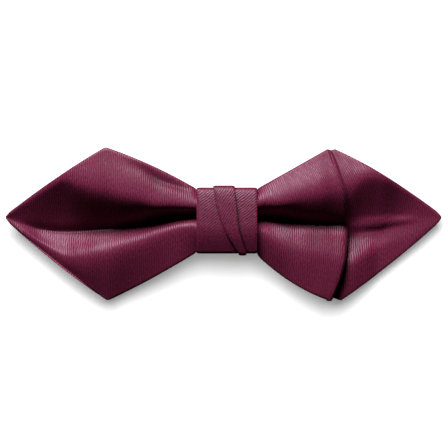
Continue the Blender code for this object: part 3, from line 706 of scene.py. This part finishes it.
def turn_section():
    """Closed section of a band: (across, height, share of the fold's inset)."""
    section = [(k / TURN_ROWS, 1.0, 1.0) for k in range(TURN_ROWS + 1)]
    for k in range(1, BAND_FOLD_STEPS):
        angle = math.pi * k / BAND_FOLD_STEPS
        section.append((1.0, math.cos(angle), 1 - math.sin(angle)))
    section += [(1 - k / TURN_ROWS, -1.0, 1.0) for k in range(TURN_ROWS + 1)]
    for k in range(1, BAND_FOLD_STEPS):
        angle = math.pi * k / BAND_FOLD_STEPS
        section.append((0.0, -math.cos(angle), 1 - math.sin(angle)))
    return section


def roll_down(distance):
    """How far the band's surface is let down near a folded edge, so that the edge is soft."""
    reach = max(0.0, 1 - distance / EDGE_ROLL_REACH)
    return EDGE_ROLL_DROP * reach * reach


def painted_turn_light(x, y, covered):
    """Painted light on a turn: painted shade in the gaps where it runs under the middle turn,
    a painted highlight at an edge.
    """
    first = x - edge_at(FIRST_EDGE, y)
    second = x - edge_at(SECOND_EDGE, y)
    if covered:
        gap = min(abs(first) / FIRST_GAP, abs(second) / (SECOND_GAP - SECOND_GAP_GROWTH * y))
        end = min(abs(x - KNOT_LEFT), abs(x - KNOT_RIGHT)) / EDGE_LIGHT_WIDTH
        light = EDGE_LIGHT * math.exp(-end * end)
        return KNOT_TONE * (PAINTED_GAP_SHADE + (1 - PAINTED_GAP_SHADE) * min(1.0, gap * gap)) * (1 + light)
    end = abs(first) / EDGE_LIGHT_WIDTH
    return KNOT_TONE * (1 + EDGE_LIGHT * math.exp(-end * end))


def ring_vertices(body, half, angle, edges, covered, path, coordinates):
    """Vertices of a turn's section at one angle; adds their weave coordinates."""
    tone = body.verts.layers.float["tone"]
    y = ring_point(half, angle)[0]
    left, right = edges
    line = []
    for across, height, inset in turn_section():
        x = left + BAND / 2 * inset + (right - left - BAND * inset) * across
        offset = height * BAND / 2
        if height > 0:
            offset -= height * (roll_down(x - left) + roll_down(right - x))
        vertex = body.verts.new(Vector((x, *ring_point(half, angle, offset))) * MM)
        # The tone holds painted shade in the gaps and painted highlights at the edges.
        vertex[tone] = painted_turn_light(x, y, covered)
        coordinates[vertex] = (x, path)
        line.append(vertex)
    return line


def ring_faces(body, rings, coordinates, path, slot):
    """Faces between the rings of one turn; the last ring joins the first again."""
    weave = body.loops.layers.uv["weave"]
    for i, ring in enumerate(rings):
        following = rings[(i + 1) % len(rings)]
        closing = i == len(rings) - 1
        for j in range(len(ring)):
            beside = (j + 1) % len(ring)
            face = body.faces.new((ring[j], ring[beside], following[beside], following[j]))
            face.smooth = True
            face.material_index = slot
            for loop in face.loops:
                u, v = coordinates[loop.vert]
                if closing and loop.vert in (following[j], following[beside]):
                    v = path
                loop[weave].uv = (u, v)


def add_turn(body, half, left_edge, right_edge, slot, covered):
    """Add one turn of the knot band, a closed ring; returns its length and flat area."""
    rings = []
    coordinates = {}
    path = 0.0
    area = 0.0
    last = None
    for angle in ring_angles():
        y, z = ring_point(half, angle)
        edges = (left_edge(y), right_edge(y))
        if last is not None:
            step = math.hypot(y - last[0], z - last[1])
            path += step
            area += step * (edges[1] - edges[0])
        last = (y, z)
        rings.append(ring_vertices(body, half, angle, edges, covered, path, coordinates))
    ring_faces(body, rings, coordinates, path, slot)
    return path, area


def left_turn_right(y):
    return edge_at(FIRST_EDGE, y) + min(LEFT_TURN_TUCK, (y - LEFT_TUCK_FROM) * TUCK_GROWTH)


def right_turn_left(y):
    return edge_at(SECOND_EDGE, y) - min(RIGHT_TURN_TUCK, (y - RIGHT_TUCK_FROM) * TUCK_GROWTH)


def build_knot(satin_side, satin_middle):
    """The knot band, one strip wound in three turns with the middle one on top."""
    body = cloth_body()
    turns = (
        (INNER_TURN_HALF, lambda y: KNOT_LEFT, left_turn_right, 0, True),
        (INNER_TURN_HALF, right_turn_left, lambda y: KNOT_RIGHT, 0, True),
        (OUTER_TURN_HALF, lambda y: edge_at(FIRST_EDGE, y),
         lambda y: edge_at(SECOND_EDGE, y), 1, False))
    for half, left_edge, right_edge, slot, covered in turns:
        turn_length, turn_area = add_turn(body, half, left_edge, right_edge, slot, covered)
    bmesh.ops.recalc_face_normals(body, faces=body.faces[:])
    mesh = finished_mesh("knot_band", body)
    band = add_piece("knot_band", mesh, satin_side)
    mesh.materials.append(satin_middle)
    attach(band, "bow")
    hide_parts("knot_left_turn", "knot_middle_turn", "knot_right_turn")


# ---------------------------------------------------------------- threads and clip
def smooth_route(points, steps):
    """Points along a smooth curve through the given points."""
    ends = [points[0]] + list(points) + [points[-1]]
    route = []
    for before, start, end, after in zip(ends, ends[1:], ends[2:], ends[3:]):
        for k in range(steps):
            s = k / steps
            route.append(start * (2 - 5 * s * s + 3 * s ** 3) / 2
                         + end * (s + 4 * s * s - 3 * s ** 3) / 2
                         + before * (-s + 2 * s * s - s ** 3) / 2
                         + after * (s ** 3 - s * s) / 2)
    return route + [points[-1]]


def twisted_thread(name, points, facing, material):
    """Two strands of thread twisted round each other along a route."""
    route = smooth_route(points, THREAD_STEPS)
    data = bpy.data.curves.new(name, "CURVE")
    data.dimensions = "3D"
    data.bevel_depth = THREAD_RADIUS * STRAND_SHARE * MM
    data.bevel_resolution = 2
    data.use_fill_caps = True
    for start in (0.0, math.pi):
        spline = data.splines.new("POLY")
        spline.points.add(len(route) - 1)
        path = 0.0
        for i, point in enumerate(route):
            along = (route[min(i + 1, len(route) - 1)] - route[max(i - 1, 0)]).normalized()
            path += (point - route[i - 1]).length if i else 0.0
            angle = start + 2 * math.pi * path / THREAD_PITCH
            aside = along.cross(facing).normalized()
            turned = aside * math.cos(angle) + facing * math.sin(angle)
            place = point + turned * THREAD_RADIUS * STRAND_ORBIT
            spline.points[i].co = (*(place * MM), 1.0)
    data.materials.append(material)
    made = bpy.data.objects.new(name, data)
    bpy.context.scene.collection.objects.link(made)
    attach(made, "bow")
    return made


def build_threads(thread):
    """The zigzag that closes the knot band and the two tacks that hold the clip."""
    zigzag = [Vector((CLOSING_X + (CLOSING_HALF if k % 2 else -CLOSING_HALF),
                      CLOSING_Y + k * CLOSING_STEP, CLOSING_Z)) for k in range(CLOSING_POINTS)]
    closing = twisted_thread("closing_stitches", zigzag, Vector((0, 0, 1)), thread)
    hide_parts("knot_closing_thread")
    for label in ("left", "right"):
        low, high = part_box(f"clip_{label}_tack")
        left, right = low[0] / MM + THREAD_RADIUS, high[0] / MM - THREAD_RADIUS
        bottom, top = low[2] / MM + THREAD_RADIUS, high[2] / MM - THREAD_RADIUS
        middle = (low[1] + high[1]) / 2 / MM
        route = []
        for k in range(TACK_LOOPS):
            y = middle + (k - (TACK_LOOPS - 1) / 2) * 2 * THREAD_RADIUS
            loop = [(left, top), (left, bottom + TACK_CORNER), (left + TACK_CORNER, bottom),
                    (right - TACK_CORNER, bottom), (right, bottom + TACK_CORNER),
                    (right, top)]
            route += [Vector((x, y, z)) for x, z in (loop if k % 2 == 0 else loop[::-1])]
        tack = twisted_thread(f"tack_stitches_{label}", route, Vector((0, 1, 0)), thread)
        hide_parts(f"clip_{label}_tack")


def finish_clip(steel, spring_steel, thread):
    """Finishes on the clip's CAD shapes, with the sheet metal's edges slightly rounded."""
    for name, material in (("clip_base_plate", steel), ("clip_jaw", steel),
                           ("clip_hinge_pin", steel), ("clip_torsion_spring", spring_steel),
                           ("waist_binding_thread", thread)):
        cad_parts[name].material_slots[0].material = material
    for name in ("clip_base_plate", "clip_jaw"):
        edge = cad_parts[name].modifiers.new("rounded edges", "BEVEL")
        edge.width = PLATE_EDGE * MM
        edge.segments = 2
        edge.limit_method = "ANGLE"
        edge.angle_limit = math.radians(PLATE_EDGE_ANGLE)


# ---------------------------------------------------------------- materials
def new_material(name):
    material = bpy.data.materials.new(name)
    material.use_nodes = True
    nodes = material.node_tree.nodes
    return material, nodes, material.node_tree.links, nodes["Principled BSDF"]


def math_node(nodes, links, operation, first, second=None):
    node = nodes.new("ShaderNodeMath")
    node.operation = operation
    for socket, value in zip(node.inputs, (first, second)):
        if value is None:
            continue
        if isinstance(value, (int, float)):
            socket.default_value = value
        else:
            links.new(value, socket)
    return node.outputs[0]


def weave_pattern(nodes, links, line_angle, grain):
    """Heights of the twill's ribs, and the same ribs broken by threads as a 0 to 1 tone."""
    uv = nodes.new("ShaderNodeUVMap")
    uv.uv_map = "weave"
    turn = nodes.new("ShaderNodeVectorRotate")
    turn.rotation_type = "Z_AXIS"
    turn.inputs["Angle"].default_value = line_angle
    links.new(uv.outputs[0], turn.inputs["Vector"])
    wobble = nodes.new("ShaderNodeTexNoise")
    wobble.inputs["Scale"].default_value = WOBBLE_SCALE
    wobble.inputs["Detail"].default_value = 2.0
    links.new(turn.outputs[0], wobble.inputs["Vector"])
    split = nodes.new("ShaderNodeSeparateXYZ")
    links.new(turn.outputs[0], split.inputs[0])
    bent = math_node(nodes, links, "MULTIPLY", wobble.outputs["Fac"], WOBBLE_REACH)
    place = math_node(nodes, links, "ADD", split.outputs[0], bent)
    turned = math_node(nodes, links, "MULTIPLY", place, 2 * math.pi / RIB_PERIOD)
    rib = math_node(nodes, links, "SINE", turned)
    across = math_node(nodes, links, "DIVIDE", place, RIB_PERIOD * THREAD_WIDTH)
    along = math_node(nodes, links, "DIVIDE", split.outputs[1], THREAD_LENGTH)
    broken = thread_noise(nodes, links, across, along, grain)
    weave = math_node(nodes, links, "MULTIPLY_ADD", rib, RIB_SHARE)
    links.new(broken, weave.node.inputs[2])
    tone = math_node(nodes, links, "MULTIPLY_ADD", weave, 0.5)
    tone.node.inputs[2].default_value = 0.5
    return rib, tone


def thread_noise(nodes, links, across, along, grain):
    """Noise stretched along the threads, centred on 0 and as strong as the grain."""
    place = nodes.new("ShaderNodeCombineXYZ")
    links.new(across, place.inputs[0])
    links.new(along, place.inputs[1])
    thread = nodes.new("ShaderNodeTexNoise")
    thread.inputs["Scale"].default_value = 1.0
    thread.inputs["Detail"].default_value = 1.0
    links.new(place.outputs[0], thread.inputs["Vector"])
    broken = math_node(nodes, links, "MULTIPLY_ADD", thread.outputs["Fac"], 2 * grain)
    broken.node.inputs[2].default_value = -grain
    return broken


def satin_colour(nodes, links, tone):
    """Burgundy between its two tones, scaled by the tone that the mesh carries, which is
    painted shade and painted highlight.
    """
    ramp = nodes.new("ShaderNodeValToRGB")
    ramp.color_ramp.elements[0].color = (*DARK_SATIN, 1)
    ramp.color_ramp.elements[1].color = (*LIGHT_SATIN, 1)
    links.new(tone, ramp.inputs[0])
    shade = nodes.new("ShaderNodeAttribute")
    shade.attribute_name = "tone"
    tinted = nodes.new("ShaderNodeVectorMath")
    tinted.operation = "SCALE"
    links.new(ramp.outputs[0], tinted.inputs[0])
    links.new(shade.outputs["Fac"], tinted.inputs["Scale"])
    return tinted.outputs[0]


def add_bump(nodes, links, shader, height, strength, distance):
    """Bump on a material from a height."""
    bump = nodes.new("ShaderNodeBump")
    bump.inputs["Strength"].default_value = strength
    bump.inputs["Distance"].default_value = distance
    links.new(height, bump.inputs["Height"])
    links.new(bump.outputs[0], shader.inputs["Normal"])


def satin_material(name, line_angle, grain, rib_bump):
    """Burgundy satin twill: ribs across the weave's coordinate, broken into threads."""
    material, nodes, links, shader = new_material(name)
    rib, tone = weave_pattern(nodes, links, line_angle, grain)
    links.new(satin_colour(nodes, links, tone), shader.inputs["Base Color"])
    add_bump(nodes, links, shader, rib, BUMP_STRENGTH, rib_bump)
    shader.inputs["Roughness"].default_value = SATIN_ROUGHNESS
    shader.inputs["Specular IOR Level"].default_value = SATIN_SPECULAR
    shader.inputs["Specular Tint"].default_value = SATIN_SPECULAR_TINT
    shader.inputs["Sheen Weight"].default_value = SATIN_SHEEN
    shader.inputs["Sheen Roughness"].default_value = SATIN_SHEEN_ROUGHNESS
    shader.inputs["Sheen Tint"].default_value = SATIN_SHEEN_TINT
    return material


def noise_ramp(nodes, links, scale, colours, vector=None, ends=(0.0, 1.0)):
    """A noise and the colour that it mixes from two others between the given ends."""
    noise = nodes.new("ShaderNodeTexNoise")
    noise.inputs["Scale"].default_value = scale
    if vector is not None:
        links.new(vector, noise.inputs["Vector"])
    ramp = nodes.new("ShaderNodeValToRGB")
    for element, position, colour in zip(ramp.color_ramp.elements, ends, colours):
        element.position = position
        element.color = (*colour, 1)
    links.new(noise.outputs["Fac"], ramp.inputs[0])
    return noise.outputs["Fac"], ramp.outputs[0]


def metal_material(name, colours, roughness, stretch):
    """Drawn or rolled metal with fine marks along X."""
    material, nodes, links, shader = new_material(name)
    place = nodes.new("ShaderNodeTexCoord")
    scaled = nodes.new("ShaderNodeMapping")
    scaled.inputs["Scale"].default_value = (1.0, stretch, stretch)
    links.new(place.outputs["Object"], scaled.inputs["Vector"])
    noise, colour = noise_ramp(nodes, links, METAL_GRAIN, colours, scaled.outputs[0],
                               MIX_ENDS)
    links.new(colour, shader.inputs["Base Color"])
    rough = math_node(nodes, links, "MULTIPLY_ADD", noise, METAL_ROUGHNESS_RANGE)
    rough.node.inputs[2].default_value = roughness
    links.new(rough, shader.inputs["Roughness"])
    add_bump(nodes, links, shader, noise, METAL_BUMP_STRENGTH, METAL_BUMP)
    shader.inputs["Metallic"].default_value = 1.0
    return material


def thread_material():
    """Burgundy sewing thread with fine fibres."""
    material, nodes, links, shader = new_material("burgundy_thread")
    place = nodes.new("ShaderNodeTexCoord")
    colour = noise_ramp(nodes, links, THREAD_GRAIN, (DARK_THREAD, LIGHT_THREAD),
                        place.outputs["Object"], MIX_ENDS)[1]
    links.new(colour, shader.inputs["Base Color"])
    shader.inputs["Roughness"].default_value = THREAD_ROUGHNESS
    shader.inputs["Sheen Weight"].default_value = THREAD_SHEEN
    return material


def cotton_material():
    material, nodes, links, shader = new_material("interlining_cotton")
    colour = noise_ramp(nodes, links, COTTON_GRAIN, (DARK_COTTON, LIGHT_COTTON))[1]
    links.new(colour, shader.inputs["Base Color"])
    shader.inputs["Roughness"].default_value = COTTON_ROUGHNESS
    return material


def floor_material():
    """Near-white studio floor: part of its white is its own, so that shadows stay faint."""
    material, nodes, links, shader = new_material("studio_floor")
    colour = noise_ramp(nodes, links, FLOOR_GRAIN, (DARK_FLOOR, LIGHT_FLOOR))[1]
    links.new(colour, shader.inputs["Base Color"])
    shader.inputs["Roughness"].default_value = 1.0
    shader.inputs["Specular IOR Level"].default_value = 0.0
    shader.inputs["Emission Color"].default_value = (1, 1, 1, 1)
    shader.inputs["Emission Strength"].default_value = FLOOR_GLOW
    return material


# ---------------------------------------------------------------- stage, lights and camera
def build_stage():
    bpy.ops.mesh.primitive_plane_add(size=FLOOR_SIZE,
                                     location=(0, 0, CAD_BOX[0][2] - FLOOR_DROP))
    floor = bpy.context.object
    floor.name = "studio_floor"
    floor.data.materials.append(floor_material())
    floor.visible_diffuse = False
    floor.visible_glossy = False
    return floor


def area_light(name, elevation, distance, size, power):
    """Square light on the +Y side of the tie, turned to face it."""
    data = bpy.data.lights.new(name, "AREA")
    data.shape = "SQUARE"
    data.size = size
    data.energy = power
    light = bpy.data.objects.new(name, data)
    bpy.context.scene.collection.objects.link(light)
    rise = math.radians(elevation)
    turn = math.radians(KEY_AZIMUTH)
    ground = math.cos(rise) * distance
    light.location = (math.sin(turn) * ground, math.cos(turn) * ground,
                      math.sin(rise) * distance)
    aim = Vector((0, 0, AIM_HEIGHT)) - light.location
    light.rotation_euler = aim.to_track_quat("-Z", "Y").to_euler()
    return light


def link_light(light, objects, state):
    """Let a light reach, or leave out, the given objects."""
    receivers = bpy.data.collections.new(light.name + "_receivers")
    for thing in objects:
        receivers.objects.link(thing)
    light.light_linking.receiver_collection = receivers
    for entry in receivers.collection_objects:
        entry.light_linking.link_state = state


def clip_light(name, location, power, receivers):
    """Small soft light that reaches only the clip, which the key light leaves dark."""
    data = bpy.data.lights.new(name, "AREA")
    data.size = CLIP_LIGHT_SIZE
    data.energy = power
    light = bpy.data.objects.new(name, data)
    bpy.context.scene.collection.objects.link(light)
    light.location = location
    light.rotation_euler = (-light.location).to_track_quat("-Z", "Y").to_euler()
    link_light(light, receivers, "INCLUDE")


def build_lights(floor):
    key = area_light("key_light", KEY_ELEVATION, KEY_DISTANCE, KEY_SIZE, KEY_POWER)
    link_light(key, [floor], "EXCLUDE")
    low = area_light("floor_light", FLOOR_LIGHT_ELEVATION, FLOOR_LIGHT_DISTANCE,
                     FLOOR_LIGHT_SIZE, FLOOR_LIGHT_POWER)
    link_light(low, [floor], "INCLUDE")
    clip = [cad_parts[name] for name in CLIP_NODES]
    for x, y in CLIP_LIGHT_PLACES:
        clip_light(f"clip_light_{x}_{y}", Vector((x, y, CLIP_LIGHT_HEIGHT)), CLIP_LIGHT_POWER,
                   clip)
    world = bpy.data.worlds.new("studio")
    bpy.context.scene.world = world
    world.use_nodes = True
    background = world.node_tree.nodes["Background"]
    background.inputs["Color"].default_value = (1, 1, 1, 1)
    background.inputs["Strength"].default_value = WORLD_STRENGTH


def build_camera():
    data = bpy.data.cameras.new("photo_camera")
    data.lens = LENS
    data.sensor_width = SENSOR
    data.clip_end = CAMERA_REACH
    camera = bpy.data.objects.new("photo_camera", data)
    bpy.context.scene.collection.objects.link(camera)
    distance = VIEW_WIDTH * LENS / SENSOR
    camera.location = Vector((0, 0, FOCUS_HEIGHT + distance)) * MM
    bpy.context.scene.camera = camera
    bpy.context.scene.view_settings.view_transform = "Standard"


def main():
    build_camera()
    satin = satin_material("burgundy_satin_twill", 0.0, WING_GRAIN, WING_BUMP)
    side_satin = satin_material("knot_satin_twill", math.radians(SIDE_TURN_LINES),
                                KNOT_GRAIN, KNOT_BUMP)
    middle_satin = satin_material("knot_middle_satin_twill", math.radians(MIDDLE_TURN_LINES),
                                  KNOT_GRAIN, KNOT_BUMP)
    build_strip(satin, cotton_material())
    build_knot(side_satin, middle_satin)
    thread = thread_material()
    build_threads(thread)
    nickel = metal_material("nickel_plate", (DARK_NICKEL, LIGHT_NICKEL), NICKEL_ROUGHNESS,
                            NICKEL_STRETCH)
    spring_steel = metal_material("spring_wire", (DARK_WIRE, LIGHT_WIRE), WIRE_ROUGHNESS,
                                  WIRE_STRETCH)
    finish_clip(nickel, spring_steel, thread)
    build_lights(build_stage())


main()
